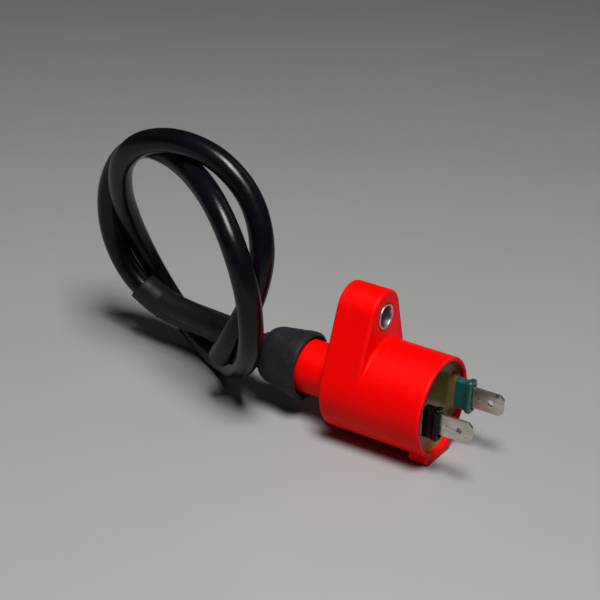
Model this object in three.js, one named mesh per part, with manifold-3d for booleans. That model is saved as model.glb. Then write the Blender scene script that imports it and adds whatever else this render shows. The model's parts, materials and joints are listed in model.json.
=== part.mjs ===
// Small-engine ignition coil: potted coil body with a mounting ear, two spade
// terminals, and a moulded high-tension lead held in the tower by a rubber boot.
// Units are millimetres. +X runs along the coil axis towards the terminals,
// +Z is up, and the body stands on its foot at z = 0.
import * as THREE from 'three';
import { mergeVertices } from 'three/addons/utils/BufferGeometryUtils.js';
import Module from 'manifold-3d';

const wasm = await Module();
wasm.setup();

// ---------------------------------------------------------------- dimensions
const AXIS_Z = 15.95;            // coil axis above the standing surface
const FRONT_X = 22.55;           // open front rim of the body, from the origin

const BODY_R = 14.45;            // barrel, outside
const WALL = 1.45;               // barrel wall
const CAV_R = BODY_R - WALL;     // potting cavity
const EAR_FRONT = -19.7;         // ear faces, from the front rim
const EAR_BACK = -31.7;
const BACK_WALL = 2.2;
const EAR_H = 21.81;             // bolt bore above the coil axis
const EAR_R = 7.7;
const EAR_HOLE_R = 4.1;
const BUSH_R = 3.8;
const BUSH_BORE_R = 3.1;         // clears an M6 bolt
const BUSH_PROUD = 0.2;
const FOOT_L = 5.9;              // key foot under the front rim
const FOOT_W = 14.4;
const FOOT_TOP = -11.0;

const TOWER_R = 7.8;             // high-tension tower
const TOWER_DROP = -0.6;         // tower axis below the coil axis
const TOWER_END = -52.3;
const TOWER_BORE_R = 3.8;
const TOWER_SEAT = -35.5;        // floor of the lead's socket

const RESIN_FACE = -2.6;         // potting surface, inside the rim
const RESIN_R = CAV_R - 0.3;
const POCKET_FRONT = -7.2;
const POCKET_R = 11.5;
const CAV_FLOOR = EAR_BACK + BACK_WALL;

const COIL_FRONT = -9.2;         // wound bobbins
const COIL_BACK = -27.6;
const CORE_T = 1.1;              // core strip thickness
const CORE_PITCH = 1.4;
const CORE_WIDTHS = [4.4, 6.8, 7.8, 6.8, 4.4];
const PRI_IN = 4.3, PRI_TUBE = 5.1, PRI_FLANGE = 7.0, PRI_WIRE = 6.7;
const SEC_IN = 7.3, SEC_TUBE = 8.1, SEC_FLANGE = 11.2, SEC_WIRE = 10.6;
const SEC_SLOTS = 5, FLANGE_T = 0.9;

const TAB_W = 6.3, TAB_T = 0.8;  // male blade terminals
const TAB_TIP = 13.8, TAB_TAIL = -6.9;
const TAB_HOLE_X = 9.9, TAB_HOLE_R = 0.85;
const TAB_Y = 9.52, TAB_Z = 0.56;
const GROUND_END = 4.4, SIGNAL_END = 4.1, SHROUD_BASE = -4.4;
const SHROUD_T = 3.0, SHROUD_H = 9.0, SIGNAL_DROP = 0.36;
const LIP_T = 4.0, LIP_H = 10.1, LIP_L = 1.3;

const BOOT_RIM = -42.85, BOOT_SHOULDER = -54.6, BOOT_END = -58.9;
const BOOT_R = 10.0, BOOT_SHOULDER_R = 8.1, BOOT_NECK_R = 6.0;
const SLEEVE_R = 4.65, SLEEVE_IN = 3.8;
const LEAD_R = 3.5, LEAD_BORE = 1.1, WIRE_R = 0.8;
const LEAD_START = -36.0;
const LEAD_STEPS = 56;           // rings along the lead
const SLEEVE_FIRST = 2, SLEEVE_LAST = 9;   // rings that the outer sleeve spans

// Lead route: points from the tower outwards, in the coil-axis frame.
const ROUTE = [
  [-36.00, 0.00, -0.60], [-47.00, 0.00, -0.60], [-58.89, 0.00, -0.60], [-73.24, 4.66, -1.25],
  [-86.58, 8.44, -2.80], [-100.38, 8.36, -1.20], [-112.17, 7.20, 5.98], [-119.24, 6.55, 17.87],
  [-119.83, 5.46, 31.66], [-113.91, 3.34, 44.00], [-103.18, -0.30, 51.99], [-90.48, -5.46, 54.37],
  [-77.83, -11.33, 53.49], [-65.99, -17.47, 49.46], [-56.30, -21.74, 40.51], [-50.70, -22.56, 27.86],
  [-50.62, -20.00, 14.24], [-55.75, -14.12, 2.78], [-64.00, -6.04, -5.06], [-73.35, 2.74, -10.60],
  [-84.91, 10.20, -12.37], [-97.23, 15.02, -8.23], [-107.49, 16.18, 1.00], [-113.42, 13.33, 13.20],
  [-114.01, 7.14, 25.63], [-111.22, -0.05, 37.29], [-105.64, -6.14, 48.52], [-95.69, -9.87, 57.41],
  [-82.42, -11.10, 61.19], [-68.82, -10.81, 58.55], [-58.01, -11.04, 49.89], [-52.40, -13.23, 37.42],
  [-53.19, -15.61, 23.79], [-59.01, -15.47, 11.14], [-66.28, -11.75, -0.17],
];

// ------------------------------------------------------------------- helpers
const frame = new THREE.Group();
frame.position.set(FRONT_X, 0, AXIS_Z);
frame.name = 'ignition_coil';

function solid(geometry) {
  const g = geometry.index ? geometry.toNonIndexed() : geometry.clone();
  g.deleteAttribute('normal');
  g.deleteAttribute('uv');
  const m = mergeVertices(g, 1e-4);
  const idx = [];
  const a = m.index.array;
  for (let i = 0; i < a.length; i += 3) {
    if (a[i] !== a[i + 1] && a[i + 1] !== a[i + 2] && a[i] !== a[i + 2]) idx.push(a[i], a[i + 1], a[i + 2]);
  }
  return new wasm.Manifold(new wasm.Mesh({
    numProp: 3,
    vertProperties: new Float32Array(m.attributes.position.array),
    triVerts: new Uint32Array(idx),
  }));
}

function geometryOf(manifold) {
  const mesh = manifold.getMesh();
  const g = new THREE.BufferGeometry();
  g.setAttribute('position', new THREE.BufferAttribute(new Float32Array(mesh.vertProperties), 3));
  g.setIndex(new THREE.BufferAttribute(new Uint32Array(mesh.triVerts), 1));
  g.computeVertexNormals();
  return g;
}

// Turned solid about the X axis. The profile is a closed list of [x, radius].
function turned(profile, segments, y = 0, z = 0) {
  const pts = profile.map(([x, r]) => new THREE.Vector2(Math.max(r, 0), x));
  const area = profile.reduce((s, p, i) => {
    const q = profile[(i + 1) % profile.length];
    return s + p[0] * q[1] - q[0] * p[1];
  }, 0);
  if (area > 0) pts.reverse();
  const closed = profile.every(([, r]) => r > 1e-6);
  if (closed) pts.push(pts[0].clone());
  const g = new THREE.LatheGeometry(pts, segments);
  g.rotateZ(-Math.PI / 2);
  g.translate(0, y, z);
  return g;
}

// Extruded outline in the YZ plane, running along X from x0 to x1.
function prism(shape, x0, x1, options = {}) {
  const g = new THREE.ExtrudeGeometry(shape, { depth: x1 - x0, bevelEnabled: false, steps: 1, ...options });
  const m = new THREE.Matrix4().set(0, 0, 1, x0, 1, 0, 0, 0, 0, 1, 0, 0, 0, 0, 0, 1);
  g.applyMatrix4(m);
  return g;
}

function outline(points) {
  const s = new THREE.Shape();
  points.forEach(([y, z], i) => (i ? s.lineTo(y, z) : s.moveTo(y, z)));
  s.closePath();
  return s;
}

function block(x0, x1, y0, y1, z0, z1) {
  const g = new THREE.BoxGeometry(x1 - x0, y1 - y0, z1 - z0);
  g.translate((x0 + x1) / 2, (y0 + y1) / 2, (z0 + z1) / 2);
  return g;
}

// Rounded rectangle outline centred on (cy, cz).
function rounded(w, h, r, cy = 0, cz = 0, n = 4) {
  const p = [];
  const corners = [[1, 1, 0], [-1, 1, 90], [-1, -1, 180], [1, -1, 270]];
  for (const [sy, sz, a0] of corners) {
    for (let k = 0; k <= n; k++) {
      const a = (a0 + 90 * k / n) * Math.PI / 180;
      p.push([cy + sy * (w / 2 - r) + r * Math.cos(a), cz + sz * (h / 2 - r) + r * Math.sin(a)]);
    }
  }
  return p;
}

function add(name, geometry, material) {
  const mesh = new THREE.Mesh(geometry, material);
  mesh.name = name;
  frame.add(mesh);
  return mesh;
}

const mat = (color, roughness, metalness = 0) => new THREE.MeshStandardMaterial({ color, roughness, metalness });
const RED = mat(0xd80a08, 0.38);
const STEEL = mat(0xa9a8a6, 0.3, 1);
const RESIN = mat(0x4b3a12, 0.25);
const IRON = mat(0x5d5f63, 0.5, 1);
const BOBBIN = mat(0xc9bfa2, 0.5);
const COPPER = mat(0xb0622c, 0.35, 1);
const FINE_COPPER = mat(0x9c4f24, 0.4, 1);
const BRASS = mat(0xb08d3a, 0.35, 1);
const PLATED = mat(0xb9b2a6, 0.32, 1);
const GREEN = mat(0x0b6a5b, 0.3);
const BLACK = mat(0x0c0c0d, 0.2);
const RUBBER = mat(0x25262a, 0.75);
const SLEEVE = mat(0x1e1f23, 0.6);
const JACKET = mat(0x121317, 0.42);

// ------------------------------------------------------------------- housing
// Teardrop section: the body circle and the ear circle joined by tangents.
function teardrop(bodyR, earR) {
  const s = (bodyR - earR) / EAR_H;
  const t = Math.asin(s);
  const p = [];
  const ear = 16, body = 40;
  for (let k = 0; k <= ear; k++) {
    const a = t + (Math.PI - 2 * t) * k / ear;
    p.push([earR * Math.cos(a), EAR_H + earR * Math.sin(a)]);
  }
  for (let k = 0; k <= body; k++) {
    const a = Math.PI - t + (Math.PI + 2 * t) * k / body;
    p.push([bodyR * Math.cos(a), bodyR * Math.sin(a)]);
  }
  return outline(p);
}
const BEV = 0.5;
const backSection = solid(prism(teardrop(BODY_R - BEV, EAR_R - BEV), EAR_BACK + BEV, EAR_FRONT - BEV,
  { bevelEnabled: true, bevelThickness: BEV, bevelSize: BEV, bevelSegments: 2 }));
const barrel = solid(turned([
  [EAR_FRONT - 1.2, 0], [EAR_FRONT - 1.2, BODY_R - 0.02], [-0.5, BODY_R - 0.02], [-0.15, BODY_R - 0.15], [0, BODY_R - 0.5], [0, 0],
], 64));
const foot = solid(prism(outline([
  [-FOOT_W / 2, FOOT_TOP], [-FOOT_W / 2, -14.2], [-6.6, -15.1], [-5.6, -15.7], [-4.4, -AXIS_Z],
  [4.4, -AXIS_Z], [5.6, -15.7], [6.6, -15.1], [FOOT_W / 2, -14.2], [FOOT_W / 2, FOOT_TOP],
]), -FOOT_L, 0));
const tower = solid(turned([
  [EAR_BACK + 1, 0], [EAR_BACK + 1, TOWER_R], [TOWER_END + 0.8, TOWER_R], [TOWER_END, TOWER_R - 0.8], [TOWER_END, 0],
], 48, 0, TOWER_DROP));
const cavity = solid(turned([[CAV_FLOOR, 0], [CAV_FLOOR, CAV_R], [1, CAV_R], [1, 0]], 64));
const socket = solid(turned([[TOWER_END - 1, 0], [TOWER_END - 1, TOWER_BORE_R], [TOWER_SEAT, TOWER_BORE_R], [TOWER_SEAT, 0]], 32, 0, TOWER_DROP));
const contactHole = solid(turned([[TOWER_SEAT - 1, 0], [TOWER_SEAT - 1, 1.7], [CAV_FLOOR + 1, 1.7], [CAV_FLOOR + 1, 0]], 20, 0, TOWER_DROP));
const earHole = solid(turned([[EAR_BACK - 1, 0], [EAR_BACK - 1, EAR_HOLE_R], [EAR_FRONT + 1, EAR_HOLE_R], [EAR_FRONT + 1, 0]], 32, 0, EAR_H));
const housing = backSection.add(barrel).add(foot).add(tower)
  .subtract(cavity).subtract(socket).subtract(contactHole).subtract(earHole);
add('coil_housing', geometryOf(housing), RED);

add('mount_bushing', turned([
  [EAR_BACK - BUSH_PROUD, BUSH_BORE_R + 0.3], [EAR_BACK - BUSH_PROUD, BUSH_R], [EAR_FRONT + BUSH_PROUD, BUSH_R],
  [EAR_FRONT + BUSH_PROUD, BUSH_BORE_R + 0.3], [EAR_FRONT + BUSH_PROUD - 0.3, BUSH_BORE_R], [EAR_BACK - BUSH_PROUD + 0.3, BUSH_BORE_R],
], 32, 0, EAR_H), STEEL);

// ------------------------------------------------------------------- potting
// Cup of cast resin: the front face is seen through the open rim, and the
// pocket behind it holds the wound bobbins.
const cup = solid(turned([
  [POCKET_FRONT, 0], [POCKET_FRONT, POCKET_R], [CAV_FLOOR + 0.3, POCKET_R], [CAV_FLOOR + 0.3, RESIN_R], [RESIN_FACE, RESIN_R], [RESIN_FACE, 0],
], 48));
function tabCuts(y, drop) {
  const deep = solid(block(POCKET_FRONT - 1, RESIN_FACE + 1, y - TAB_T / 2 - 0.3, y + TAB_T / 2 + 0.3, TAB_Z - TAB_W / 2 - 0.3, TAB_Z + TAB_W / 2 + 0.3));
  const wide = solid(prism(outline(rounded(SHROUD_T + 0.6, SHROUD_H + 0.6, 0.9, y, TAB_Z - drop)), SHROUD_BASE - 0.3, RESIN_FACE + 1));
  return deep.add(wide);
}
add('potting_compound', geometryOf(cup.subtract(tabCuts(TAB_Y, 0)).subtract(tabCuts(-TAB_Y, SIGNAL_DROP))), RESIN);

// ------------------------------------------------------- magnetic core, coils
CORE_WIDTHS.forEach((w, i) => {
  const zc = (i - 2) * CORE_PITCH;
  add(`core_strip_${i + 1}`, block(COIL_BACK + 0.2, COIL_FRONT - 0.2, -w / 2, w / 2, zc - CORE_T / 2, zc + CORE_T / 2), IRON);
});
add('primary_bobbin', turned([
  [COIL_BACK, PRI_IN], [COIL_BACK, PRI_FLANGE], [COIL_BACK + FLANGE_T, PRI_FLANGE], [COIL_BACK + FLANGE_T, PRI_TUBE],
  [COIL_FRONT - FLANGE_T, PRI_TUBE], [COIL_FRONT - FLANGE_T, PRI_FLANGE], [COIL_FRONT, PRI_FLANGE], [COIL_FRONT, PRI_IN],
], 32), BOBBIN);
add('primary_winding', turned([
  [COIL_BACK + FLANGE_T + 0.3, PRI_TUBE + 0.3], [COIL_BACK + FLANGE_T + 0.3, PRI_WIRE],
  [COIL_FRONT - FLANGE_T - 0.3, PRI_WIRE], [COIL_FRONT - FLANGE_T - 0.3, PRI_TUBE + 0.3],
], 32), COPPER);

const secSpan = (COIL_FRONT - COIL_BACK - FLANGE_T) / SEC_SLOTS;
const secProfile = [[COIL_BACK, SEC_IN]];
for (let i = 0; i <= SEC_SLOTS; i++) {
  const x = COIL_BACK + i * secSpan;
  secProfile.push([x, SEC_FLANGE], [x + FLANGE_T, SEC_FLANGE]);
  if (i < SEC_SLOTS) secProfile.push([x + FLANGE_T, SEC_TUBE], [x + secSpan, SEC_TUBE]);
}
secProfile.push([COIL_FRONT, SEC_IN]);
add('secondary_bobbin', turned(secProfile, 32), BOBBIN);
for (let i = 0; i < SEC_SLOTS; i++) {
  const a = COIL_BACK + i * secSpan + FLANGE_T + 0.3, b = COIL_BACK + (i + 1) * secSpan - 0.3;
  add(`secondary_winding_${i + 1}`, turned([[a, SEC_TUBE + 0.3], [a, SEC_WIRE], [b, SEC_WIRE], [b, SEC_TUBE + 0.3]], 28), FINE_COPPER);
}

// Brass contact: a head in front of the back wall and a spike into the lead.
add('ht_contact', turned([
  [-28.4, 0], [-28.4, 2.6], [-29.2, 2.6], [-29.2, 1.35], [-35.2, 1.35], [-35.9, 0.8], [-40.6, 0.75], [-42.2, 0.15], [-42.2, 0],
], 20, 0, TOWER_DROP), BRASS);

// --------------------------------------------------------------- terminals
function blade(y) {
  const s = new THREE.Shape();
  const w = TAB_W / 2, c = 0.9, n = 0.2;
  s.moveTo(TAB_TAIL, -w);
  s.lineTo(TAB_TIP - 1.15, -w); s.lineTo(TAB_TIP - 0.2, -w + c); s.lineTo(TAB_TIP, -w + c + n);
  s.lineTo(TAB_TIP, w - c - n); s.lineTo(TAB_TIP - 0.2, w - c); s.lineTo(TAB_TIP - 1.15, w);
  s.lineTo(TAB_TAIL, w);
  s.closePath();
  const h = new THREE.Path();
  h.absarc(TAB_HOLE_X, 0, TAB_HOLE_R, 0, Math.PI * 2, true);
  s.holes.push(h);
  const g = new THREE.ExtrudeGeometry(s, { depth: TAB_T, bevelEnabled: false, curveSegments: 8 });
  g.rotateX(Math.PI / 2);
  g.translate(0, y + TAB_T / 2, TAB_Z);
  return g;
}
add('terminal_ground', blade(TAB_Y), PLATED);
add('terminal_signal', blade(-TAB_Y), PLATED);

function shroud(y, end, lipT, lipH, drop) {
  const z = TAB_Z - drop;
  const body = solid(prism(outline(rounded(SHROUD_T, SHROUD_H, 0.7, y, z)), SHROUD_BASE, end - 0.2));
  const neck = solid(prism(outline(rounded((SHROUD_T + lipT) / 2, (SHROUD_H + lipH) / 2, 0.9, y, z)), end - LIP_L - 0.5, end - 0.1));
  const lip = solid(prism(outline(rounded(lipT, lipH, 1.1, y, z)), end - LIP_L, end));
  const slot = solid(block(SHROUD_BASE - 1, end + 1, y - TAB_T / 2 - 0.3, y + TAB_T / 2 + 0.3, TAB_Z - TAB_W / 2 - 0.3, TAB_Z + TAB_W / 2 + 0.3));
  return geometryOf(body.add(neck).add(lip).subtract(slot));
}
add('ground_insulator', shroud(TAB_Y, GROUND_END, LIP_T, LIP_H, 0), GREEN);
add('signal_insulator', shroud(-TAB_Y, SIGNAL_END, LIP_T - 0.2, LIP_H - 0.2, SIGNAL_DROP), BLACK);

// Thin wires inside the potting, from each blade to the primary winding and
// from the last secondary section to the contact.
function wire(points, r, sides, steps) {
  const path = new THREE.CatmullRomCurve3(points.map((p) => new THREE.Vector3(...p)), false, 'centripetal');
  const s = new THREE.Shape();
  for (let k = 0; k < sides; k++) {
    const a = 2 * Math.PI * k / sides;
    k ? s.lineTo(r * Math.cos(a), r * Math.sin(a)) : s.moveTo(r, 0);
  }
  s.closePath();
  return new THREE.ExtrudeGeometry(s, { steps, bevelEnabled: false, extrudePath: path });
}
add('ground_wire', wire([[-7.3, 9.5, 0.5], [-7.8, 9.4, 0.5], [-8.3, 8.6, 0.4], [-8.4, 7.2, 0.2], [-8.4, 5.8, 0]], 0.35, 6, 8), COPPER);
add('signal_wire', wire([[-7.3, -9.5, 0.5], [-7.8, -9.4, 0.5], [-8.3, -8.6, 0.4], [-8.4, -7.2, 0.2], [-8.4, -5.8, 0]], 0.35, 6, 8), COPPER);
add('secondary_wire', wire([[-28.0, 0, 9.6], [-28.3, 0, 8.8], [-28.4, 0, 6.5], [-28.6, 0, 4.0], [-28.7, 0, 2.6]], 0.25, 6, 8), COPPER);

// ------------------------------------------------------------- lead and boot
add('lead_boot', turned([
  [BOOT_RIM, TOWER_R + 0.3], [BOOT_RIM, BOOT_R - 0.6], [BOOT_RIM - 0.5, BOOT_R], [BOOT_RIM - 3, BOOT_R - 0.1], [BOOT_SHOULDER, BOOT_SHOULDER_R],
  [BOOT_SHOULDER - 1.6, BOOT_SHOULDER_R - 0.6], [BOOT_SHOULDER - 2.8, BOOT_SHOULDER_R - 1.6], [BOOT_END + 0.6, BOOT_NECK_R + 0.1], [BOOT_END, BOOT_NECK_R - 0.4],
  [BOOT_END, SLEEVE_R + 0.3], [TOWER_END - 0.3, SLEEVE_R + 0.3], [TOWER_END - 0.3, TOWER_R + 0.3],
], 40, 0, TOWER_DROP), RUBBER);

// The lead follows a sampled route; every ring is square to the route.
function ringSection(r, bore, sides) {
  const s = new THREE.Shape();
  for (let k = 0; k < sides; k++) {
    const a = 2 * Math.PI * k / sides;
    k ? s.lineTo(r * Math.cos(a), r * Math.sin(a)) : s.moveTo(r, 0);
  }
  s.closePath();
  if (bore) {
    const h = new THREE.Path();
    for (let k = 0; k < sides; k++) {
      const a = -2 * Math.PI * k / sides;
      k ? h.lineTo(bore * Math.cos(a), bore * Math.sin(a)) : h.moveTo(bore, 0);
    }
    h.closePath();
    s.holes.push(h);
  }
  return s;
}
const route = new THREE.CatmullRomCurve3(ROUTE.map((p) => new THREE.Vector3(...p)), false, 'centripetal');
route.arcLengthDivisions = 2000;
const routeLength = route.getLength();
const LEAD_STEP = routeLength / LEAD_STEPS;

// Part of the route between two arc lengths, as its own curve.
class Stretch extends THREE.Curve {
  constructor(from, to) { super(); this.from = from; this.to = to; this.arcLengthDivisions = 400; }
  getPoint(t, target = new THREE.Vector3()) {
    return route.getPointAt(Math.min(1, Math.max(0, (this.from + (this.to - this.from) * t) / routeLength)), target);
  }
}
function tube(first, last, r, bore, sides) {
  return new THREE.ExtrudeGeometry(ringSection(r, bore, sides), {
    steps: last - first, bevelEnabled: false, extrudePath: new Stretch(first * LEAD_STEP, last * LEAD_STEP),
  });
}
add('lead_sleeve', tube(SLEEVE_FIRST, SLEEVE_LAST, SLEEVE_R, SLEEVE_IN, 12), SLEEVE);
add('lead_jacket', tube(0, LEAD_STEPS, LEAD_R, LEAD_BORE, 10), JACKET);
add('lead_conductor', tube(1, LEAD_STEPS, WIRE_R, 0, 6), COPPER);

export default frame;
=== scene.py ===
import json
from math import cos, pi, radians, sin, sqrt

import bmesh
import bpy
import numpy as np
from mathutils import Matrix, Vector

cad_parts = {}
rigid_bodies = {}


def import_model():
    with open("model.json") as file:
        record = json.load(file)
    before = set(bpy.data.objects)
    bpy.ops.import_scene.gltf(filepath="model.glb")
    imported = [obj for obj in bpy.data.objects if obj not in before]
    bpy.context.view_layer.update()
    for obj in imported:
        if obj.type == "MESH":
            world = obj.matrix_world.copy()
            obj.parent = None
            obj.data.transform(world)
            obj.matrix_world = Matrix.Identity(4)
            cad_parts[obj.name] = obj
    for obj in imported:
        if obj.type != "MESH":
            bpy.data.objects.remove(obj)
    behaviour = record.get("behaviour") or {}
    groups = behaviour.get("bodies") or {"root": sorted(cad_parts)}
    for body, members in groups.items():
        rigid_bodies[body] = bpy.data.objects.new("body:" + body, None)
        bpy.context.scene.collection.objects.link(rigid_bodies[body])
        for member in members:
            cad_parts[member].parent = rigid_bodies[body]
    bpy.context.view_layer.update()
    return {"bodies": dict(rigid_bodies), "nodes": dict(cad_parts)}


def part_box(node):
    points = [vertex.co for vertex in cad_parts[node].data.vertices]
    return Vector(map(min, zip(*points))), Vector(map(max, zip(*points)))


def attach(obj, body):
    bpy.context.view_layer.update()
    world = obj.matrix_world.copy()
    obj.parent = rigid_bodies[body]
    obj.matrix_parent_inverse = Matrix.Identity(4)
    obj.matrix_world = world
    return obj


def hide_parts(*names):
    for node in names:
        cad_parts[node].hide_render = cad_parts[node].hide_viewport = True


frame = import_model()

BODY = "root" if "root" in frame["bodies"] else next(iter(frame["bodies"]))

# ----------------------------------------------------------------- the frame
# Shapes are written in millimetres from the coil axis and the front rim,
# as the CAD is, and moved into the row frame in metres.
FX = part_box("coil_housing")[1][0] * 1000.0
AXZ = 15.95
SHIFT = np.array([FX, 0.0, AXZ])


def row(p):
    return (np.asarray(p, float) + SHIFT) / 1000.0


# ---------------------------------------------------------------- the camera
AZ, EL, ROLL = radians(31.01), radians(25.15), radians(2.96)
FOCAL, TX, TY, DIST = 1704.46, 443.12, 407.57, 467.63
right = np.array([cos(AZ), sin(AZ), 0.0])
back = np.array([sin(AZ) * cos(EL), -cos(AZ) * cos(EL), sin(EL)])
up = np.cross(back, right)
r2 = cos(ROLL) * right + sin(ROLL) * up
u2 = -sin(ROLL) * right + cos(ROLL) * up
eye = back * DIST - r2 * ((TX - 300) / FOCAL * DIST) + u2 * ((TY - 300) / FOCAL * DIST)
cam = bpy.data.objects.new("Camera", bpy.data.cameras.new("Camera"))
bpy.context.scene.collection.objects.link(cam)
eye_row = row(eye)
cam.matrix_world = Matrix((
    (r2[0], u2[0], back[0], eye_row[0]),
    (r2[1], u2[1], back[1], eye_row[1]),
    (r2[2], u2[2], back[2], eye_row[2]),
    (0, 0, 0, 1),
))
cam.data.sensor_fit = "HORIZONTAL"
cam.data.sensor_width = 36.0
cam.data.lens = FOCAL * 36.0 / 600.0
cam.data.clip_start = 0.01
cam.data.clip_end = 20.0
cam.data.dof.use_dof = False
bpy.context.scene.camera = cam


# ------------------------------------------------------------ mesh utilities
def piece(name, verts, faces, smooth=True, attrs=None, sharp=None):
    me = bpy.data.meshes.new(name)
    me.from_pydata([tuple(v) for v in row(verts)], [], [tuple(int(i) for i in f) for f in faces])
    me.validate()
    bm = bmesh.new()
    bm.from_mesh(me)
    bmesh.ops.recalc_face_normals(bm, faces=bm.faces[:])
    bm.to_mesh(me)
    bm.free()
    if attrs:
        for key, values in attrs.items():
            a = me.attributes.new(key, "FLOAT", "POINT")
            a.data.foreach_set("value", np.asarray(values, np.float32))
    ob = bpy.data.objects.new(name, me)
    bpy.context.scene.collection.objects.link(ob)
    if smooth:
        me.polygons.foreach_set("use_smooth", [True] * len(me.polygons))
        if sharp is not None:
            me.set_sharp_from_angle(angle=radians(sharp))
    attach(ob, BODY)
    return ob


def loft(rings, closed_ends=True):
    """Quads between rings of equal count, the two ends capped with fans."""
    n = len(rings[0])
    v = [p for ring in rings for p in ring]
    f = []
    for i in range(len(rings) - 1):
        for j in range(n):
            a, b = i * n + j, i * n + (j + 1) % n
            f.append((a, b, b + n, a + n))
    if closed_ends:
        for start in (0, (len(rings) - 1) * n):
            c = np.mean(v[start:start + n], axis=0)
            v.append(c)
            k = len(v) - 1
            for j in range(n):
                f.append((start + j, start + (j + 1) % n, k))
    return v, f


def arc(cx, cr, r, a0, a1, n):
    """Points of a fillet in an (x, radius) profile."""
    return [(cx + r * cos(radians(a0 + (a1 - a0) * k / n)), cr + r * sin(radians(a0 + (a1 - a0) * k / n))) for k in range(n + 1)]


def turned(profile, sides, y=0.0, z=0.0, wobble=None):
    """Ring-shaped solid of revolution about X: the profile closes on itself."""
    v, f = [], []
    n = len(profile)
    for j in range(sides):
        t = 2 * pi * j / sides
        for i, (x, r) in enumerate(profile):
            p = np.array([x, y + r * cos(t), z + r * sin(t)])
            if wobble:
                p = p + wobble(x, r, t)
            v.append(p)
    for j in range(sides):
        for i in range(n):
            a, b = j * n + i, j * n + (i + 1) % n
            c, d = ((j + 1) % sides) * n + (i + 1) % n, ((j + 1) % sides) * n + i
            f.append((a, b, c, d))
    return v, f


def rounded(w, h, r, n=5):
    """Rounded rectangle, w across Y and h along Z."""
    r = min(r, w / 2 - 1e-3, h / 2 - 1e-3)
    out = []
    for sy, sz, a0 in ((1, 1, 0), (-1, 1, 90), (-1, -1, 180), (1, -1, 270)):
        for k in range(n + 1):
            a = radians(a0 + 90 * k / n)
            out.append((sy * (w / 2 - r) + r * cos(a), sz * (h / 2 - r) + r * sin(a)))
    return out


def smin(a, b, k):
    h = np.maximum(k - np.abs(a - b), 0) / np.maximum(k, 1e-6)
    return np.minimum(a, b) - h * h * k * 0.25


def smax(a, b, k):
    return -smin(-a, -b, k)


def smoothstep(a, b, x):
    t = np.clip((x - a) / (b - a), 0, 1)
    return t * t * (3 - 2 * t)


def skin(field, lo, hi, h):
    """Quad surface of field = 0 by surface nets, then pulled onto the field."""
    axes = [np.arange(a, b + h, h) for a, b in zip(lo, hi)]
    X, Y, Z = np.meshgrid(*axes, indexing="ij")
    F = field(X, Y, Z)
    S = F < 0
    nx, ny, nz = F.shape
    cnt = np.zeros((nx - 1, ny - 1, nz - 1), np.int8)
    corner = [(i, j, k) for i in (0, 1) for j in (0, 1) for k in (0, 1)]
    for i, j, k in corner:
        cnt += S[i:nx - 1 + i, j:ny - 1 + j, k:nz - 1 + k]
    act = (cnt > 0) & (cnt < 8)
    idx = np.full(act.shape, -1, np.int64)
    idx[act] = np.arange(int(act.sum()))
    cells = np.argwhere(act)
    acc = np.zeros((len(cells), 3))
    num = np.zeros(len(cells))
    for a in corner:
        for b in corner:
            if a < b and sum(p != q for p, q in zip(a, b)) == 1:
                A, B = cells + np.array(a), cells + np.array(b)
                fa, fb = F[A[:, 0], A[:, 1], A[:, 2]], F[B[:, 0], B[:, 1], B[:, 2]]
                m = (fa < 0) != (fb < 0)
                t = (fa[m] / (fa[m] - fb[m]))[:, None]
                acc[m] += A[m] + t * (B[m] - A[m])
                num[m] += 1
    V = np.array(lo) + h * acc / num[:, None]
    quads = []
    for ax in range(3):
        lo_s = [slice(None)] * 3
        hi_s = [slice(None)] * 3
        lo_s[ax], hi_s[ax] = slice(0, -1), slice(1, None)
        cross = S[tuple(lo_s)] != S[tuple(hi_s)]
        e = np.argwhere(cross)
        u, w = (ax + 1) % 3, (ax + 2) % 3
        e = e[(e[:, u] > 0) & (e[:, w] > 0) & (e[:, u] < F.shape[u] - 1) & (e[:, w] < F.shape[w] - 1)]
        four = []
        for du, dw in ((-1, -1), (0, -1), (0, 0), (-1, 0)):
            c = e.copy()
            c[:, u] += du
            c[:, w] += dw
            four.append(idx[c[:, 0], c[:, 1], c[:, 2]])
        q = np.stack(four, 1)
        inside = S[e[:, 0], e[:, 1], e[:, 2]]
        q[~inside] = q[~inside][:, ::-1]
        quads.append(q)
    Q = np.concatenate(quads)
    d = 0.02
    for _ in range(4):
        f0 = field(*V.T)
        g = np.stack([(field(*(V + d * e).T) - field(*(V - d * e).T)) / (2 * d) for e in np.eye(3)], 1)
        g2 = np.maximum((g * g).sum(1), 0.2)
        V = V - np.clip(f0 / g2, -h / 2, h / 2)[:, None] * g
    e = 0.45
    lap = sum(field(*(V + e * a).T) + field(*(V - e * a).T) for a in np.eye(3)) - 6 * field(*V.T)
    return V, Q, lap / (e * e)


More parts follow.
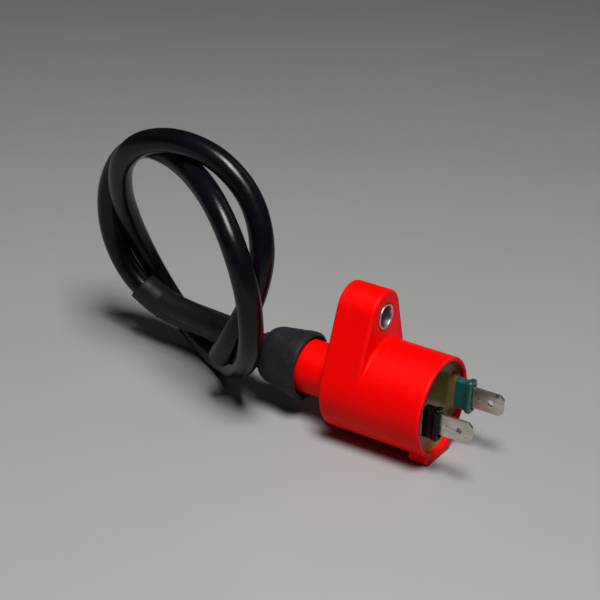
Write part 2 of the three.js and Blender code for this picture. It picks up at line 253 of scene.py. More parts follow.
# ------------------------------------------------------------ the lead's route
ROUTE = np.array([
    [-36.00, 0.00, -0.60], [-47.00, 0.00, -0.60], [-58.89, 0.00, -0.60], [-73.24, 4.66, -1.25],
    [-86.58, 8.44, -2.80], [-100.38, 8.36, -1.20], [-112.17, 7.20, 5.98], [-119.24, 6.55, 17.87],
    [-119.83, 5.46, 31.66], [-113.91, 3.34, 44.00], [-103.18, -0.30, 51.99], [-90.48, -5.46, 54.37],
    [-77.83, -11.33, 53.49], [-65.99, -17.47, 49.46], [-56.30, -21.74, 40.51], [-50.70, -22.56, 27.86],
    [-50.62, -20.00, 14.24], [-55.75, -14.12, 2.78], [-64.00, -6.04, -5.06], [-73.35, 2.74, -10.60],
    [-84.91, 10.20, -12.37], [-97.23, 15.02, -8.23], [-107.49, 16.18, 1.00], [-113.42, 13.33, 13.20],
    [-114.01, 7.14, 25.63], [-111.22, -0.05, 37.29], [-105.64, -6.14, 48.52], [-95.69, -9.87, 57.41],
    [-82.42, -11.10, 61.19], [-68.82, -10.81, 58.55], [-58.01, -11.04, 49.89], [-52.40, -13.23, 37.42],
    [-53.19, -15.61, 23.79], [-59.01, -15.47, 11.14], [-66.28, -11.75, -0.17],
])


def route_points(per=60):
    """Centripetal Catmull-Rom through the route's points."""
    P = ROUTE
    n = len(P)
    out = []
    for i in range(n - 1):
        p1, p2 = P[i], P[i + 1]
        p0 = P[i - 1] if i > 0 else 2 * P[0] - P[1]
        p3 = P[i + 2] if i + 2 < n else 2 * P[-1] - P[-2]
        d0, d1, d2 = (max(np.linalg.norm(b - a) ** 0.5, 1e-4) for a, b in ((p0, p1), (p1, p2), (p2, p3)))
        t1 = ((p1 - p0) / d0 - (p2 - p0) / (d0 + d1) + (p2 - p1) / d1) * d1
        t2 = ((p2 - p1) / d1 - (p3 - p1) / (d1 + d2) + (p3 - p2) / d2) * d1
        c2 = -3 * p1 + 3 * p2 - 2 * t1 - t2
        c3 = 2 * p1 - 2 * p2 + t1 + t2
        for k in range(per):
            t = k / per
            out.append(p1 + t1 * t + c2 * t * t + c3 * t ** 3)
    out.append(P[-1])
    return np.array(out)


def resample(pts, step):
    s = np.concatenate([[0], np.cumsum(np.linalg.norm(np.diff(pts, axis=0), axis=1))])
    m = max(2, int(round(s[-1] / step)))
    t = np.linspace(0, s[-1], m + 1)
    return np.stack([np.interp(t, s, pts[:, a]) for a in range(3)], 1), t


LINE, ARC = resample(route_points(), 1.0)
for _ in range(6):
    inner = LINE.copy()
    inner[1:-1] = (LINE[:-2] + 2 * LINE[1:-1] + LINE[2:]) / 4
    inner[:20] = LINE[:20]
    LINE = inner
LINE, ARC = resample(LINE, 1.0)
LEAD_LENGTH = float(ARC[-1])


def frames(pts):
    """Unit tangents and a pair of normals that don't twist."""
    T = np.gradient(pts, axis=0)
    T /= np.linalg.norm(T, axis=1)[:, None]
    N = np.zeros_like(T)
    a = np.array([0.0, 0.0, 1.0])
    N[0] = a - T[0] * a.dot(T[0])
    N[0] /= np.linalg.norm(N[0])
    for i in range(1, len(T)):
        v = N[i - 1] - T[i] * N[i - 1].dot(T[i])
        N[i] = v / np.linalg.norm(v)
    return T, N, np.cross(T, N)


TAN, NOR, BIN = frames(LINE)


def at(s):
    """Point and axes of the route at arc length s."""
    i = min(max(s, 0.0), LEAD_LENGTH) / LEAD_LENGTH * (len(LINE) - 1)
    k = min(int(i), len(LINE) - 2)
    w = i - k
    mix = lambda a: a[k] * (1 - w) + a[k + 1] * w
    return mix(LINE), mix(TAN), mix(NOR), mix(BIN)


def along(profile, sides, shape=None):
    """Rings about the route: the profile is a list of (arc length, radius)."""
    rings = []
    for s, r in profile:
        p, t, n, b = at(s)
        ring = []
        for j in range(sides):
            a = 2 * pi * j / sides
            rr, ds = (r, 0.0) if shape is None else shape(s, r, a)
            ring.append(p + t * ds + n * rr * cos(a) + b * rr * sin(a))
        rings.append(ring)
    return rings


LEAD_R = 3.5
END = LEAD_LENGTH
prof = [(0.0, LEAD_R)] + [(s, LEAD_R) for s in np.arange(1.5, END - 1.2, 1.25)]
prof += [(END - 1.05, LEAD_R), (END - 0.7, LEAD_R - 0.03), (END - 0.35, LEAD_R - 0.16), (END - 0.12, LEAD_R - 0.38), (END, LEAD_R - 0.75)]


def lead_shape(s, r, a):
    """An extruded rubber lead is never a perfect cylinder."""
    k = 0.018 * sin(2 * a + s * 0.02) + 0.012 * sin(s * 0.13 + 2 * sin(s * 0.031))
    return r * (1 + k * 0.5), 0.12 * sin(a * 2 + 1.0) * smoothstep(END - 1.2, END, s)


rings = along(prof, 40, lead_shape)
v, f = loft(rings)
lead = piece("lead_jacket_rubber", v, f, sharp=60)
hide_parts("lead_jacket")

# cut face of the lead: the bore's mouth round the strands
cut = along([(END - 3.0, 1.2), (END - 0.9, 1.2), (END - 0.35, 1.22), (END + 0.02, 1.35), (END + 0.06, 1.7), (END + 0.04, 2.2), (END - 0.2, 2.4), (END - 0.6, 2.0), (END - 3.0, 2.0)], 32)
v, f = loft(cut, closed_ends=False)
n = 32
m = (len(cut) - 1) * n
f += [(m + j, m + (j + 1) % n, (j + 1) % n, j) for j in range(n)]
cut_face = piece("lead_cut_face", v, f, sharp=50)

# conductor: a centre wire along the lead, and the twisted strands at its cut end
v, f = loft(along([(s, 0.62) for s in np.linspace(9.0, END - 14.0, 230)], 10))
for k in range(7):
    rr, turn = (0.0, 0.0) if k == 0 else (0.66, 2 * pi * k / 6)
    centre = []
    for s in np.linspace(END - 15.0, END - 0.15 + 0.18 * sin(k * 2.1), 26):
        p, t, nn, bb = at(s)
        a = turn + s * 0.32
        centre.append(p + nn * rr * cos(a) + bb * rr * sin(a))
    centre = np.array(centre)
    T, N, B = frames(centre)
    rg = [[centre[i] + 0.31 * (N[i] * cos(2 * pi * j / 10) + B[i] * sin(2 * pi * j / 10)) for j in range(10)] for i in range(len(centre))]
    v2, f2 = loft(rg)
    o = len(v)
    v += v2
    f += [tuple(i + o for i in q) for q in f2]
strands = piece("lead_strands", v, f, sharp=50)
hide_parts("lead_conductor")

# outer sleeve over the first stretch of the lead
SL0, SL1 = 16.9, 75.6
SLR, SLI = 4.62, 3.72


def sleeve_shape(s, r, a):
    k = 0.010 * sin(3 * a + s * 0.11) + 0.014 * sin(s * 0.21) + 0.01 * sin(s * 0.53 + a)
    e = smoothstep(SL1 - 14, SL1 + 4, s)
    return r * (1 + k) + 0.08 * e * sin(a + 0.6), 0.30 * e * sin(a - 0.8)


prof = [(s, SLR) for s in np.linspace(SL0, SL1 - 1.0, 54)]
prof += [(SL1 - 0.5, SLR - 0.01), (SL1 - 0.2, SLR - 0.08), (SL1 - 0.03, SLR - 0.25), (SL1, SLI + 0.35), (SL1 - 0.05, SLI + 0.12), (SL1 - 0.4, SLI), (SL1 - 6.0, SLI), (SL0, SLI)]
rings = along(prof, 40, sleeve_shape)
v, f = loft(rings, closed_ends=False)
n, m = 40, (len(rings) - 1) * 40
f += [(m + j, m + (j + 1) % n, (j + 1) % n, j) for j in range(n)]
sleeve = piece("lead_outer_sleeve", v, f, sharp=60)
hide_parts("lead_sleeve")

exit_point = row(at(22.3)[0])

# ----------------------------------------------------------------- the housing
EAR_FRONT, EAR_BACK, EAR_H = -19.7, -31.7, 21.81
BODY_R, EAR_R, CAV_R = 14.45, 7.7, 13.0
TOWER_R, TOWER_DROP, TOWER_END, TOWER_SEAT = 7.8, -0.6, -52.3, -35.5


def hull2(y, z):
    """Distance to the outline that wraps the body circle and the ear circle."""
    b = (BODY_R - EAR_R) / EAR_H
    a = sqrt(1 - b * b)
    py, pz = np.abs(y), z
    k = -b * py + a * pz
    d1 = np.hypot(py, pz) - BODY_R
    d2 = np.hypot(py, pz - EAR_H) - EAR_R
    d3 = a * py + b * pz - BODY_R
    return np.where(k < 0, d1, np.where(k > a * EAR_H, d2, d3))


def foot2(y, z):
    r = 2.1
    qy = np.abs(y) - 7.2 + r
    qz = np.abs(z + 12.45) - 3.5 + r
    return np.hypot(np.maximum(qy, 0), np.maximum(qz, 0)) + np.minimum(np.maximum(qy, qz), 0) - r


def housing_field(x, y, z):
    q = np.hypot(y, z)
    qt = np.hypot(y, z - TOWER_DROP)
    ear = smax(hull2(y, z), x - EAR_FRONT, 1.0)
    ang = np.degrees(np.arctan2(z, np.abs(y) + 1e-9))
    body = smin(q - BODY_R, ear, 1.0 * smoothstep(18, 50, ang) + 1e-4)
    foot = smax(foot2(y, z), -5.9 - x, 0.5)
    body = smin(body, foot, 0.6 + 0 * x)
    body = smax(body, x, 0.6)
    body = smax(body, EAR_BACK - x, 1.5)
    tower = smax(qt - TOWER_R, TOWER_END - x, 1.2)
    tower = np.maximum(tower, x + 30.2)
    body = smin(body, tower, 1.5)
    body = smax(body, -np.maximum(q - CAV_R, -29.5 - x), 0.7)
    body = smax(body, -np.maximum(qt - 3.7, x - TOWER_SEAT), 0.4)
    body = smax(body, -np.maximum(np.maximum(qt - 1.7, TOWER_SEAT - 1 - x), x + 28.5), 0.1)
    body = smax(body, -(np.hypot(y, z - EAR_H) - 3.83), 0.5)
    return body


V, Q, lap = skin(housing_field, (-53.0, -15.3, -16.9), (0.9, 15.3, 30.4), 0.3)
# painted highlight: this mask is high on the convex rounded edges of the shell, where the material lays a lighter red
# standing in for light on those edges
painted_highlight = np.clip((lap - 0.25) / 1.6, 0, 1)
housing = piece("housing_shell", V, Q, attrs={"painted_highlight": painted_highlight})
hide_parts("coil_housing")

# ------------------------------------------------------------- the ear bushing
x0, x1 = EAR_BACK - 0.2, EAR_FRONT + 0.2
prof = arc(x1 - 0.22, 3.80 - 0.22, 0.22, 0, 90, 4)[::-1][::-1]
prof = (
    arc(x1 - 0.2, 3.60, 0.2, 90, 0, 4)
    + [(x1, 3.42)]
    + arc(x1 - 0.32, 3.42, 0.32, 0, -90, 4)
    + [(x1 - 1.2, 3.1), (x0 + 1.2, 3.1)]
    + arc(x0 + 0.32, 3.42, 0.32, 270, 180, 4)
    + arc(x0 + 0.2, 3.60, 0.2, 180, 90, 4)
)
v, f = turned(prof, 96, 0, EAR_H)
bushing = piece("ear_bushing", v, f, sharp=50)
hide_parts("mount_bushing")

# ------------------------------------------------------------------ the resin
TAB_Y, TAB_Z = 9.52, 0.56
RESIN = -2.6


def box_distance(y, z, yc, zc, w, h, r):
    qy = np.abs(y - yc) - w / 2 + r
    qz = np.abs(z - zc) - h / 2 + r
    return np.hypot(np.maximum(qy, 0), np.maximum(qz, 0)) + np.minimum(np.maximum(qy, qz), 0) - r


def resin_height(y, z):
    """Cast face: it climbs the wall and the two insulators in a meniscus."""
    r, t = np.hypot(y, z), np.arctan2(z, y)
    wall = 12.96 - r
    climb = 1.25 + 0.35 * np.sin(t * 2 + 0.5) + 0.2 * np.sin(t * 5 + 2.0)
    h = RESIN + climb * np.exp(-np.maximum(wall, 0) / 0.55)
    for yc, zc in ((TAB_Y, TAB_Z), (-TAB_Y, TAB_Z - 0.36)):
        d = np.maximum(box_distance(y, z, yc, zc, 3.0, 9.0, 0.7), 0)
        h = smax(h, RESIN + 2.2 * np.exp(-d / 0.75), 0.25)
    h = h + 0.03 * np.sin(y * 0.38 + 0.8) * np.cos(z * 0.30)
    return h


sides = 160
radii = list(np.linspace(0.6, 9.0, 22)) + list(np.linspace(9.25, 12.0, 14)) + [12.2, 12.4, 12.55, 12.68, 12.78, 12.86, 12.92, 12.96]
v = [np.array([float(resin_height(0.0, 0.0)), 0.0, 0.0])]
f = []
for r in radii:
    for j in range(sides):
        t = 2 * pi * j / sides
        y, z = r * cos(t), r * sin(t)
        v.append(np.array([float(resin_height(y, z)), y, z]))
for x, r in ((-3.2, 12.96), (-29.2, 12.96), (-29.2, 11.5), (-7.3, 11.5), (-7.2, 11.3)):
    for j in range(sides):
        t = 2 * pi * j / sides
        v.append(np.array([x, r * cos(t), r * sin(t)]))
nr = len(radii) + 5
for j in range(sides):
    f.append((0, 1 + j, 1 + (j + 1) % sides))
for i in range(nr - 1):
    for j in range(sides):
        a, b = 1 + i * sides + j, 1 + i * sides + (j + 1) % sides
        f.append((a, a + sides, b + sides, b))
v.append(np.array([-7.2, 0.0, 0.0]))
last = 1 + (nr - 1) * sides
for j in range(sides):
    f.append((last + j, last + (j + 1) % sides, len(v) - 1))
# painted reflection: this mask makes the resin lighter towards the wall, standing in for light reflected where the
# resin climbs the wall in a meniscus
painted_wall_reflection = np.array([smoothstep(8.0, 12.4, float(np.hypot(q[1], q[2]))) for q in v])
resin = piece("resin_fill", v, f, attrs={"painted_highlight": painted_wall_reflection * 0.9}, sharp=70)
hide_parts("potting_compound")

# ------------------------------------------------------- blades and insulators
TAB_W, TAB_T, TAB_TIP, TAB_TAIL = 6.3, 0.8, 13.8, -6.9
HOLE_X, HOLE_R = 9.9, 0.85


def corner(a, b, c, r, n=4):
    """Points that round the corner b of a polygon."""
    a, b, c = map(np.array, (a, b, c))
    u, w = (a - b) / np.linalg.norm(a - b), (c - b) / np.linalg.norm(c - b)
    p0, p1 = b + u * r, b + w * r
    return [tuple((1 - t) ** 2 * p0 + 2 * t * (1 - t) * b + t * t * p1) for t in np.linspace(0, 1, n + 1)]


def blade_outline(inset):
    w = TAB_W / 2 - inset
    tip = TAB_TIP - inset
    raw = [(TAB_TAIL + inset, -w), (TAB_TIP - 1.2, -w), (tip - 0.12, -w + 1.0), (tip, -w + 1.3), (tip, w - 1.3), (tip - 0.12, w - 1.0), (TAB_TIP - 1.2, w), (TAB_TAIL + inset, w)]
    out = []
    m = len(raw)
    for i in range(m):
        out += corner(raw[i - 1], raw[i], raw[(i + 1) % m], 0.15)
    return out


def circle(r, n=40):
    return [(HOLE_X + r * cos(2 * pi * k / n), r * sin(2 * pi * k / n)) for k in range(n)]


def build_blade(name, side, node):
    bm = bmesh.new()
    y0 = side * TAB_Y

    def ring(points, y):
        return [bm.verts.new((x, y0 + y, TAB_Z + z)) for x, z in points]

    t = TAB_T / 2
    b = 0.09
    outer = [ring(blade_outline(b), t), ring(blade_outline(b * 0.3), t - b * 0.3), ring(blade_outline(0), t - b), ring(blade_outline(0), -t + b), ring(blade_outline(b * 0.3), -t + b * 0.3), ring(blade_outline(b), -t)]
    hole = [ring(circle(HOLE_R + 0.10), t), ring(circle(HOLE_R + 0.03), t - 0.04), ring(circle(HOLE_R), t - 0.12), ring(circle(HOLE_R), -t + 0.12), ring(circle(HOLE_R + 0.03), -t + 0.04), ring(circle(HOLE_R + 0.10), -t)]
    for rings_ in (outer, hole):
        for a, c in zip(rings_, rings_[1:]):
            m = len(a)
            for i in range(m):
                bm.faces.new((a[i], a[(i + 1) % m], c[(i + 1) % m], c[i]))
    for k in (0, -1):
        edges = []
        for loop in (outer[k], hole[k]):
            m = len(loop)
            for i in range(m):
                edges.append(bm.edges.get((loop[i], loop[(i + 1) % m])))
        bmesh.ops.triangle_fill(bm, use_beauty=True, use_dissolve=False, edges=edges)
    # shallow stop dimple next to the insulator, raised on both faces
    for s in (1, -1):
        m, levels = 20, [(0.52, -0.03), (0.44, 0.03), (0.30, 0.10), (0.14, 0.14)]
        prev = None
        for rr, hh in levels:
            cur = [bm.verts.new((6.45 + rr * cos(2 * pi * i / m), y0 + s * (t + hh), TAB_Z + rr * sin(2 * pi * i / m))) for i in range(m)]
            if prev:
                for i in range(m):
                    bm.faces.new((prev[i], prev[(i + 1) % m], cur[(i + 1) % m], cur[i]))
            prev = cur
        top = bm.verts.new((6.45, y0 + s * (t + 0.15), TAB_Z))
        for i in range(m):
            bm.faces.new((prev[i], prev[(i + 1) % m], top))
    bmesh.ops.recalc_face_normals(bm, faces=bm.faces[:])
    bm.verts.ensure_lookup_table()
    verts = [np.array(q.co) for q in bm.verts]
    bm.verts.index_update()
    faces = [[q.index for q in fc.verts] for fc in bm.faces]
    bm.free()
    ob = piece(name, verts, faces, sharp=28)
    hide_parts(node)
    return ob


blade_far = build_blade("blade_ground", 1, "terminal_ground")
blade_near = build_blade("blade_signal", -1, "terminal_signal")


def build_insulator(name, side, node):
    y0 = side * TAB_Y
    if side > 0:
        zc = TAB_Z
        stations = [
            (-4.4, 3.00, 9.00, 0.7), (-2.6, 3.14, 9.10, 0.8), (-1.0, 3.22, 9.18, 0.9), (-0.1, 3.16, 9.12, 0.9), (0.7, 3.00, 8.92, 0.75), (1.4, 2.86, 8.76, 0.7),
            (1.9, 2.86, 8.76, 0.7), (2.3, 3.00, 8.94, 0.75), (2.65, 3.40, 9.38, 0.9), (2.95, 3.76, 9.80, 1.0), (3.25, 3.95, 10.04, 1.1), (3.7, 4.0, 10.10, 1.1),
            (4.05, 3.94, 10.02, 1.1), (4.28, 3.74, 9.78, 1.0), (4.39, 3.42, 9.42, 0.9), (4.40, 3.0, 9.0, 0.8), (4.35, 2.3, 8.2, 0.6), (4.2, 1.8, 7.5, 0.5),
            (3.9, 1.42, 6.98, 0.4), (3.4, 1.24, 6.70, 0.35), (1.0, 1.12, 6.56, 0.3),
        ]
    else:
        zc = TAB_Z - 0.36
        stations = [
            (-4.4, 3.00, 9.00, 0.7), (-2.6, 3.04, 9.04, 0.75), (-1.0, 3.08, 9.08, 0.8), (0.2, 3.04, 9.06, 0.75), (1.2, 2.98, 9.04, 0.7), (1.9, 3.00, 9.10, 0.7),
            (2.4, 3.20, 9.30, 0.75), (2.8, 3.50, 9.58, 0.9), (3.15, 3.70, 9.80, 1.0), (3.5, 3.8, 9.90, 1.0), (3.78, 3.74, 9.84, 1.0), (3.98, 3.56, 9.64, 0.9),
            (4.09, 3.28, 9.34, 0.85), (4.1, 2.9, 8.96, 0.8), (4.05, 2.3, 8.2, 0.6), (3.92, 1.8, 7.6, 0.5), (3.65, 1.44, 7.30, 0.4), (3.1, 1.26, 7.20, 0.35),
            (1.0, 1.12, 7.10, 0.3),
        ]
    rings_ = []
    for x, w, h, r in stations:
        rings_.append([np.array([x + 0.05 * sin(z * 0.7 + side), y0 + y, zc + z]) for y, z in rounded(w, h, r)])
    v, f = loft(rings_)
    ob = piece(name, v, f, sharp=60)
    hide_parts(node)
    return ob


ins_far = build_insulator("insulator_cap_green", 1, "ground_insulator")
ins_near = build_insulator("insulator_cap_black", -1, "signal_insulator")

# -------------------------------------------------------------------- the boot
RIM, SHOULDER, NECK = -42.85, -54.6, -58.9
prof = (
    arc(RIM - 0.75, 9.98 - 0.75, 0.75, 0, 90, 6)
    + [(RIM - 1.6, 9.98), (RIM - 3.0, 9.88), (-48.0, 9.45), (-50.5, 9.02), (-52.6, 8.66), (-53.8, 8.48)]
    + [(-54.8, 8.24), (-55.6, 7.92), (-56.25, 7.44), (-56.75, 6.82), (-57.2, 6.24), (-57.7, 5.84), (-58.4, 5.62), (-58.72, 5.54), (-58.88, 5.36), (NECK, 5.14), (-58.8, 4.98)]
    + [(-57.6, 4.9), (-53.0, 4.9), (-52.5, 5.0), (-52.42, 6.5), (-52.38, 8.1), (-50.0, 8.12), (-45.0, 8.14), (RIM - 2.4, 8.2), (RIM - 1.2, 8.55), (RIM - 0.4, 8.86), (RIM - 0.08, 9.04), (RIM, 9.14)]
)


def boot_give(x, r, t):
    """The soft rim hangs a little below the tower and is slightly out of round."""
    k = smoothstep(-52.0, RIM, x) * smoothstep(7.5, 9.0, r)
    down = -sin(t)
    y = 0.10 * k * sin(2 * t + 0.7)
    z = -(0.20 + 0.45 * max(down, 0)) * k
    bump = 0.05 * sin(3 * t + x * 0.5) * smoothstep(6.5, 8.5, r) * (1 if r > 8.3 else 0)
    return np.array([0.12 * k * sin(2 * t), y + bump * cos(t), z + bump * sin(t)])


v, f = turned(prof, 112, 0, TOWER_DROP, boot_give)
boot = piece("lead_boot_rubber", v, f, sharp=50)
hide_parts("lead_boot")


# ------------------------------------------------------------------ materials
def new_material(name):
    m = bpy.data.materials.new(name)
    m.use_nodes = True
    nt = m.node_tree
    bsdf = nt.nodes["Principled BSDF"]
    return m, nt, bsdf


def noise(nt, vec, scale, detail=4.0, rough=0.55, distortion=0.0):
    n_ = nt.nodes.new("ShaderNodeTexNoise")
    n_.inputs["Scale"].default_value = scale
    n_.inputs["Detail"].default_value = detail
    n_.inputs["Roughness"].default_value = rough
    n_.inputs["Distortion"].default_value = distortion
    nt.links.new(vec, n_.inputs["Vector"])
    return n_.outputs["Fac"]


def ranged(nt, src, a, b, lo=0.0, hi=1.0):
    m = nt.nodes.new("ShaderNodeMapRange")
    m.inputs["From Min"].default_value = a
    m.inputs["From Max"].default_value = b
    m.inputs["To Min"].default_value = lo
    m.inputs["To Max"].default_value = hi
    nt.links.new(src, m.inputs["Value"])
    return m.outputs["Result"]


def mixed(nt, fac, a, b):
    m = nt.nodes.new("ShaderNodeMix")
    m.data_type = "RGBA"
    for sock, val in (("A", a), ("B", b)):
        s = [i for i in m.inputs if i.name == sock and i.type == "RGBA"][0]
        if hasattr(val, "links") or isinstance(val, bpy.types.NodeSocket):
            nt.links.new(val, s)
        else:
            s.default_value = (*val, 1.0)
    nt.links.new(fac, m.inputs["Factor"])
    return [o for o in m.outputs if o.type == "RGBA"][0]


def math(nt, op, a, b):
    m = nt.nodes.new("ShaderNodeMath")
    m.operation = op
    for i, val in enumerate((a, b)):
        if isinstance(val, bpy.types.NodeSocket):
            nt.links.new(val, m.inputs[i])
        else:
            m.inputs[i].default_value = val
    return m.outputs[0]


def bump(nt, bsdf, height, strength, distance, after=None):
    b = nt.nodes.new("ShaderNodeBump")
    b.inputs["Strength"].default_value = strength
    b.inputs["Distance"].default_value = distance
    nt.links.new(height, b.inputs["Height"])
    if after is not None:
        nt.links.new(after, b.inputs["Normal"])
    nt.links.new(b.outputs["Normal"], bsdf.inputs["Normal"])
    return b.outputs["Normal"]


def coords(nt, stretch=None):
    tc = nt.nodes.new("ShaderNodeTexCoord")
    if stretch is None:
        return tc.outputs["Object"]
    mp = nt.nodes.new("ShaderNodeMapping")
    mp.inputs["Scale"].default_value = stretch
    nt.links.new(tc.outputs["Object"], mp.inputs["Vector"])
    return mp.outputs["Vector"]


def surface(name, dark, light, rough, grain, metallic=0.0, patch=90.0, stretch=None,
            bump_strength=0.25, bump_distance=0.0001, scuff=None, painted_highlight=None, specular=0.5,
            coat=0.0, coat_rough=0.1, sheen=0.0, sheen_rough=0.4, dust=None, ior=None):
    m, nt, bsdf = new_material(name)
    vec = coords(nt, stretch)
    base = coords(nt)
    broad = ranged(nt, noise(nt, vec, patch, 5.0, 0.6), 0.32, 0.68)
    col = mixed(nt, broad, dark, light)
    if dust is not None:
        amount, tint = dust
        specks = ranged(nt, noise(nt, base, 900.0, 2.0, 0.5), 0.70, 0.80, 0.0, amount)
        col = mixed(nt, specks, col, tint)
    # painted highlight: where the per-vertex mask is high, a lighter colour is mixed over the base colour and broken up
    # by noise, standing in for light on edges and rims
    if painted_highlight is not None:
        at_ = nt.nodes.new("ShaderNodeAttribute")
        at_.attribute_name = "painted_highlight"
        painted_highlight_mask = math(nt, "MULTIPLY", at_.outputs["Fac"], ranged(nt, noise(nt, base, 260.0, 5.0, 0.6), 0.4, 0.62, 0.15, 1.0))
        col = mixed(nt, math(nt, "MULTIPLY", painted_highlight_mask, painted_highlight[0]), col, painted_highlight[1])
    nt.links.new(col, bsdf.inputs["Base Color"])
    rn = noise(nt, base, 420.0, 4.0, 0.6)
    rr = ranged(nt, rn, 0.35, 0.65, rough[0], rough[1])
    if scuff is not None:
        streak = noise(nt, coords(nt, scuff), 60.0, 5.0, 0.65)
        rr = math(nt, "ADD", rr, ranged(nt, streak, 0.56, 0.70, 0.0, 0.12))
    nt.links.new(rr, bsdf.inputs["Roughness"])
    fine = noise(nt, base, grain, 3.0, 0.6)
    first = bump(nt, bsdf, noise(nt, base, grain * 0.12, 3.0, 0.5), bump_strength * 0.6, bump_distance * 4)
    bump(nt, bsdf, fine, bump_strength, bump_distance, after=first)
    bsdf.inputs["Metallic"].default_value = metallic
    bsdf.inputs["Specular IOR Level"].default_value = specular
    bsdf.inputs["Coat Weight"].default_value = coat
    bsdf.inputs["Coat Roughness"].default_value = coat_rough
    bsdf.inputs["Sheen Weight"].default_value = sheen
    bsdf.inputs["Sheen Roughness"].default_value = sheen_rough
    if ior is not None:
        bsdf.inputs["IOR"].default_value = ior
    return m


# the red shell's lighter edge colour is a painted highlight
RED = surface("moulded_red_plastic", (0.88, 0.0002, 0.0003), (0.96, 0.0004, 0.0004), (0.40, 0.52), 5200.0, patch=70.0,
              bump_strength=0.22, bump_distance=0.00006, scuff=(1.0, 4.0, 4.0), painted_highlight=(0.22, (0.95, 0.05, 0.04)), specular=0.09)
STEEL = surface("turned_steel", (0.54, 0.545, 0.55), (0.66, 0.66, 0.655), (0.34, 0.42), 3000.0, metallic=1.0, patch=120.0,
                stretch=(6.0, 1.0, 1.0), bump_strength=0.10, bump_distance=0.00002)
# the epoxy's dust specks are its own; its lighter colour towards the wall is a painted reflection
RESIN_M = surface("cast_epoxy", (0.096, 0.064, 0.005), (0.146, 0.098, 0.012), (0.22, 0.34), 1600.0, patch=120.0,
                  bump_strength=0.12, bump_distance=0.00008, specular=0.28, coat=0.10, coat_rough=0.14,
                  dust=(0.25, (0.20, 0.15, 0.06)), painted_highlight=(0.75, (0.30, 0.20, 0.12)))
GREEN = surface("green_vinyl", (0.0015, 0.066, 0.054), (0.003, 0.098, 0.082), (0.22, 0.32), 2600.0, patch=160.0,
                bump_strength=0.2, bump_distance=0.00006, specular=0.6, coat=0.25, coat_rough=0.12)
BLACK = surface("black_vinyl", (0.0016, 0.0016, 0.0020), (0.0034, 0.0034, 0.0040), (0.12, 0.20), 2600.0, patch=160.0,
                bump_strength=0.2, bump_distance=0.00006, specular=0.16, coat=0.06, coat_rough=0.10)
PLATED = surface("tin_plated_brass", (0.50, 0.46, 0.41), (0.74, 0.70, 0.64), (0.26, 0.42), 2400.0, metallic=1.0, patch=220.0,
                 stretch=(1.0, 3.0, 5.0), bump_strength=0.3, bump_distance=0.00005, scuff=(3.0, 1.0, 22.0),
                 dust=(0.35, (0.34, 0.24, 0.15)))
BOOT = surface("moulded_boot_rubber", (0.0050, 0.0052, 0.0074), (0.0150, 0.0156, 0.0196), (0.55, 0.70), 3400.0, patch=110.0,
               bump_strength=0.45, bump_distance=0.00010, specular=0.24, sheen=0.06, sheen_rough=0.5, dust=(0.40, (0.08, 0.08, 0.09)))
SLEEVE = surface("extruded_sleeve_rubber", (0.0110, 0.0108, 0.0135), (0.0190, 0.0186, 0.0225), (0.38, 0.52), 3000.0, patch=120.0,
                 bump_strength=0.35, bump_distance=0.00008, specular=0.26, dust=(0.40, (0.08, 0.08, 0.09)))
LEAD = surface("extruded_lead_rubber", (0.0018, 0.0019, 0.0032), (0.0036, 0.0038, 0.0060), (0.21, 0.28), 2400.0, patch=100.0,
               bump_strength=0.22, bump_distance=0.00006, specular=0.24, coat=0.0, coat_rough=0.25, dust=(0.14, (0.06, 0.06, 0.07)))
COPPER = surface("enamelled_copper", (0.42, 0.15, 0.06), (0.68, 0.29, 0.13), (0.25, 0.40), 3000.0, metallic=1.0, patch=400.0,
                 stretch=(8.0, 1.0, 1.0), bump_strength=0.5, bump_distance=0.00008)
BOBBIN = surface("natural_nylon", (0.58, 0.52, 0.38), (0.72, 0.66, 0.52), (0.42, 0.55), 2600.0, patch=140.0,
                 bump_strength=0.3, bump_distance=0.00006)
IRON = surface("silicon_steel", (0.20, 0.21, 0.23), (0.36, 0.37, 0.39), (0.38, 0.55), 2400.0, metallic=1.0, patch=260.0,
               stretch=(1.0, 6.0, 1.0), bump_strength=0.3, bump_distance=0.00005)
BRASS = surface("turned_brass", (0.52, 0.36, 0.12), (0.68, 0.50, 0.20), (0.24, 0.38), 2600.0, metallic=1.0, patch=260.0,
                stretch=(6.0, 1.0, 1.0), bump_strength=0.3, bump_distance=0.00005)

for ob, m in ((housing, RED), (bushing, STEEL), (resin, RESIN_M), (blade_far, PLATED), (blade_near, PLATED), (ins_far, GREEN),
              (ins_near, BLACK), (boot, BOOT), (sleeve, SLEEVE), (lead, LEAD), (cut_face, LEAD), (strands, COPPER)):
    ob.data.materials.clear()
    ob.data.materials.append(m)

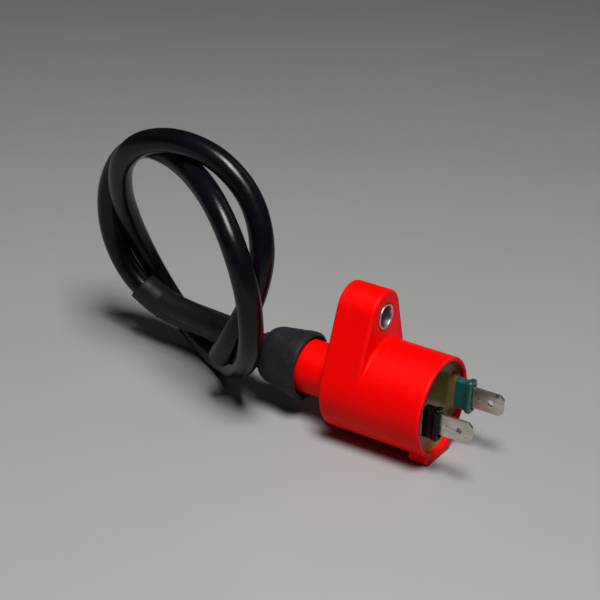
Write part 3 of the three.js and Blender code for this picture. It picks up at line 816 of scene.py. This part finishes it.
kept = {"core_strip": IRON, "primary_bobbin": BOBBIN, "secondary_bobbin": BOBBIN, "primary_winding": COPPER,
        "secondary_winding": COPPER, "ht_contact": BRASS, "ground_wire": COPPER, "signal_wire": COPPER, "secondary_wire": COPPER,
        "coil_housing": RED, "mount_bushing": STEEL, "potting_compound": RESIN_M, "terminal_": PLATED, "ground_insulator": GREEN,
        "signal_insulator": BLACK, "lead_boot": BOOT, "lead_sleeve": SLEEVE, "lead_jacket": LEAD, "lead_conductor": COPPER}
for node, ob in frame["nodes"].items():
    for key, m in kept.items():
        if node.startswith(key):
            if not ob.material_slots:
                ob.data.materials.append(m)
            for s in ob.material_slots:
                s.material = m
            break

# ------------------------------------------------------- floor and the lights
fm, nt, bsdf = new_material("studio_floor")
vec = coords(nt)
nt.links.new(mixed(nt, ranged(nt, noise(nt, vec, 7.0, 4.0, 0.5), 0.3, 0.7), (0.345, 0.345, 0.346), (0.362, 0.362, 0.363)), bsdf.inputs["Base Color"])
nt.links.new(ranged(nt, noise(nt, vec, 30.0, 3.0, 0.5), 0.3, 0.7, 0.62, 0.72), bsdf.inputs["Roughness"])
bump(nt, bsdf, noise(nt, vec, 1500.0, 3.0, 0.6), 0.12, 0.00006)
bsdf.inputs["Specular IOR Level"].default_value = 0.25
me = bpy.data.meshes.new("floor")
s = 3.0
me.from_pydata([(-s, -s, 0), (s, -s, 0), (s, s, 0), (-s, s, 0)], [], [(0, 1, 2, 3)])
floor = bpy.data.objects.new("floor", me)
bpy.context.scene.collection.objects.link(floor)
me.materials.append(fm)


def area_light(name, place, target, size, power, colour=(1, 1, 1), size_y=None):
    li = bpy.data.lights.new(name, "AREA")
    li.energy = power
    li.color = colour
    li.shape = "RECTANGLE"
    li.size = size
    li.size_y = size_y or size
    ob = bpy.data.objects.new(name, li)
    ob.location = place
    ob.rotation_euler = (Vector(target) - Vector(place)).to_track_quat("-Z", "Y").to_euler()
    bpy.context.scene.collection.objects.link(ob)
    return ob


centre = (-0.03, 0.0, 0.02)
area_light("softbox_key", (0.13, -0.19, 0.60), centre, 0.20, 4.8, (1.0, 0.995, 0.985), 0.26)
area_light("softbox_back", (0.25, 0.55, 0.60), centre, 0.30, 0.18, (0.985, 0.99, 1.0), 0.40)

world = bpy.data.worlds.new("studio")
bpy.context.scene.world = world
world.use_nodes = True
world.node_tree.nodes["Background"].inputs["Color"].default_value = (0.55, 0.56, 0.58, 1)
world.node_tree.nodes["Background"].inputs["Strength"].default_value = 0.034
bpy.context.scene.view_settings.view_transform = "Standard"
bpy.context.scene.view_settings.look = "None"
